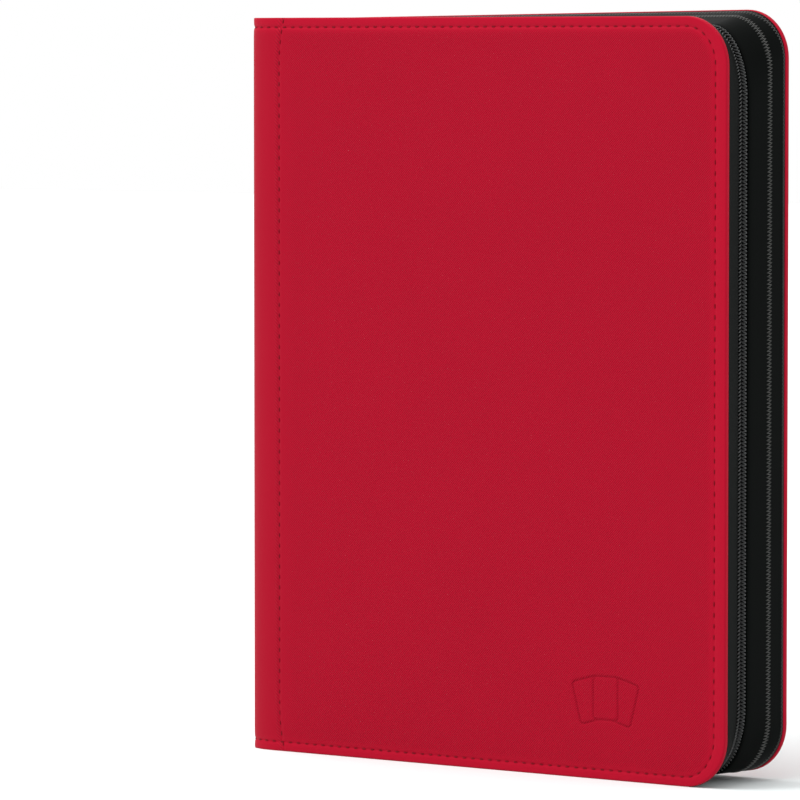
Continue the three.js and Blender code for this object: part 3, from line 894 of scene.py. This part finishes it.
def add_coil(name):
    """Half of the nylon coil: flattened turns that slant towards the middle of the zip."""
    side = SIDES[name]
    sides = 5
    turns = int(band_length(COIL_INSET) / COIL_PITCH) - 2
    angle = np.linspace(0, 2 * math.pi * turns, turns * 10 + 1)
    lag = 0 if side == FRONT else COIL_PITCH / 2
    run = COIL_PITCH * (angle / (2 * math.pi) - 0.2 * np.cos(angle)) + COIL_PITCH + lag
    x, z, inward_x, inward_z = band_place(run, COIL_INSET)
    sink = -0.4 * np.sin(angle) - 0.45 * np.cos(angle)
    y = ZIP_Y + side * (1.55 + 1.25 * np.cos(angle))
    x, z = round_wider(x + inward_x * sink, y, z + inward_z * sink, COIL_INSET + sink)
    verts, faces = tube(np.stack([x, y, z], 1), COIL_WIRE, sides)
    # outer is 1 at a turn's outer bend and 0 in the middle of the zip; the coil's material paints its
    # highlight and shade by it.
    outer = np.repeat(0.5 + 0.5 * np.cos(angle), sides)
    piece = add_piece(f"{name}_zip_coil", lifted(verts), faces, COIL, floats={"outer": outer})
    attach(piece, f"{name}_cover")
    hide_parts(f"{name}_zipper_coil")


def tape_section(side):
    """A thin woven strip with raised ribs along it, and a round edge under the coil."""
    near, far = ZIP_Y + side * 0.5, ZIP_Y + side * 9
    ribs = np.linspace(near, far, 18)
    outer = [(y, 5.5 + (0.12 if k % 2 else 0.0)) for k, y in enumerate(ribs)]
    return outer + [(far, 6.0), (near, 6.0)]


def overlock(side, ends, upright, pitch):
    """A zigzag of thread all the way round the band.

    It goes between two depths on the top and bottom edges, and between two others on the upright."""
    clear = 8.0
    runs = np.arange(clear, band_length(0.0) - clear, pitch / 4)
    phase = np.arange(len(runs)) % 4
    share = np.array([0.0, 0.5, 1.0, 0.5])[phase]
    x, z, inward_x, inward_z = band_place(runs, 0.0)
    near = ends[0] + (upright[0] - ends[0]) * inward_x**2
    far = ends[1] + (upright[1] - ends[1]) * inward_x**2
    y = side * (near + (far - near) * share)
    rise = np.array([gusset_inset(depth, side) for depth in y])
    rise = rise + np.array([0.08, -0.16, 0.08, -0.16])[phase]
    limit = fold_limit(x)
    y = np.clip(y, -limit, limit)
    x, z = round_wider(x + inward_x * rise, y, z + inward_z * rise, rise)
    return np.stack([x, y, z], 1)


def add_zip_half(name):
    side = SIDES[name]
    gusset = sweep(f"{name}_gusset_strip", gusset_section(side), GUSSET, GUSSET_START)
    tape = sweep(f"{name}_zip_tape", tape_section(side), TAPE, TAPE_START)
    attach(gusset, f"{name}_cover")
    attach(tape, f"{name}_cover")
    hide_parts(f"{name}_gusset")
    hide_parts(f"{name}_zipper_tape")
    add_coil(name)


def add_gusset_seams():
    """Two rows of overlock on the back gusset: name, depths at the ends and upright, thread radius."""
    rows = [
        ("inner", (10.2, 13.4), (10.2, 13.4), 0.16),
        ("outer", (17.2, 20.8), (20.6, 21.7), 0.12),
    ]
    for name, ends, upright, radius in rows:
        verts, faces = tube(overlock(BACK, ends, upright, COIL_PITCH), radius, 5)
        piece = add_piece(f"back_gusset_{name}_overlock", lifted(verts), faces, BLACK_THREAD)
        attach(piece, "back_cover")


# ---- the strips that hold the sheets ----


def add_binding(name):
    """A welded strip, stepped like a stair, that follows the inside of the spine's fold."""
    side = SIDES[name]
    low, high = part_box(f"{name}_page_binding")
    z_from, z_to = low.z / MM, high.z / MM
    tops = [(18.5, 1.3), (16.7, 2.9), (14.5, 4.1), (12.3, 4.9), (10.1, 5.5), (8.9, 5.5)]
    inner = SPINE_X + PANEL + 0.3
    section = [(inner, 8.9), (inner, 14.0), (inner + 0.3, 16.0), (inner + 0.6, 17.6)]
    section += [(SPINE_X + PANEL + height, y) for y, height in tops]
    outline = np.array(section)
    taper = 0.6
    stops = [z_from, *np.linspace(z_from + taper, z_to - taper, 40), z_to]
    centre = outline.mean(0)
    verts = []
    for k, z in enumerate(stops):
        shrink = 0.93 if k in (0, len(stops) - 1) else 1.0
        ring = centre + (outline - centre) * shrink
        verts += [(x, side * y, z) for x, y in ring]
    faces = ring_faces(len(stops), len(outline))
    piece = add_piece(f"{name}_binding_strip", verts, faces, LINING)
    face_outwards(piece)
    shade_flat(piece)
    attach(piece, "spine")
    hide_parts(f"{name}_page_binding")


# ---- carried-over CAD nodes ----


def finish_cad_nodes():
    """Gives each CAD node that stays its finish, and softens its edges."""
    for name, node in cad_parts.items():
        if name.endswith("_film"):
            look, width = FILM, 0.0
        elif name.endswith("_core"):
            look, width = SHEET, 0.12
        elif name == "pull_tab":
            look, width = RUBBER, 0.75
        elif name in ("zipper_slider", "pull_link") or name.endswith("_stop"):
            look, width = METAL, 0.16
        else:
            look, width = LINING, 0.0
        node.data.materials.clear()
        node.data.materials.append(look)
        if width and not node.hide_render:
            soften(node, width, 4 if name == "pull_tab" else 2)


# ---- camera, floor and lights ----


def look_at(thing, place, target):
    thing.location = place
    thing.rotation_euler = (Vector(target) - Vector(place)).to_track_quat("-Z", "Y").to_euler()


CAMERA_PLACE = (1.780, -2.342, 0.334)
CAMERA_TARGET = (-0.0411, -0.0324, 0.1711)
FLOOR_REACH = 9000


def add_camera():
    """A long lens from 38 degrees right of the front cover, a little above the middle."""
    data = bpy.data.cameras.new("camera")
    data.lens = 283.2
    data.sensor_width = 36.0
    data.clip_end = 50
    camera = bpy.data.objects.new("camera", data)
    bpy.context.scene.collection.objects.link(camera)
    look_at(camera, CAMERA_PLACE, CAMERA_TARGET)
    bpy.context.scene.camera = camera


def add_softbox(name, place, target, size, power):
    data = bpy.data.lights.new(name, "AREA")
    data.shape = "DISK"
    data.size = size
    data.energy = power
    lamp = bpy.data.objects.new(name, data)
    bpy.context.scene.collection.objects.link(lamp)
    look_at(lamp, place, target)


def add_stage():
    """A pale floor, white light all round, a soft key from the left and a broad light from above."""
    points = [(x * FLOOR_REACH, y * FLOOR_REACH, 0) for x, y in [(-1, -1), (1, -1), (1, 1), (-1, 1)]]
    floor = add_piece("floor", points, [[0, 1, 2, 3]], floor_finish())
    world = bpy.data.worlds.new("studio")
    world.use_nodes = True
    world.node_tree.nodes["Background"].inputs["Color"].default_value = (1, 1, 1, 1)
    world.node_tree.nodes["Background"].inputs["Strength"].default_value = 1.0
    bpy.context.scene.world = world
    add_softbox("key_softbox", (-0.9, -1.3, 2.0), (0, 0, 0.3), 0.7, 17)
    overhead = bpy.data.lights.new("overhead", "SUN")
    overhead.energy = 1.9
    overhead.angle = math.radians(50)
    lamp = bpy.data.objects.new("overhead", overhead)
    bpy.context.scene.collection.objects.link(lamp)
    look_at(lamp, (-0.4, -0.5, 2.0), (0, 0, 0))
    bpy.context.scene.view_settings.view_transform = "Standard"


# ---- the binder ----

add_camera()
add_stage()
for cover in SIDES:
    add_cover_sheets(cover)
    add_cover_stitches(cover)
    add_zip_half(cover)
    add_binding(cover)
add_gusset_seams()
add_inner_layers()
finish_cad_nodes()
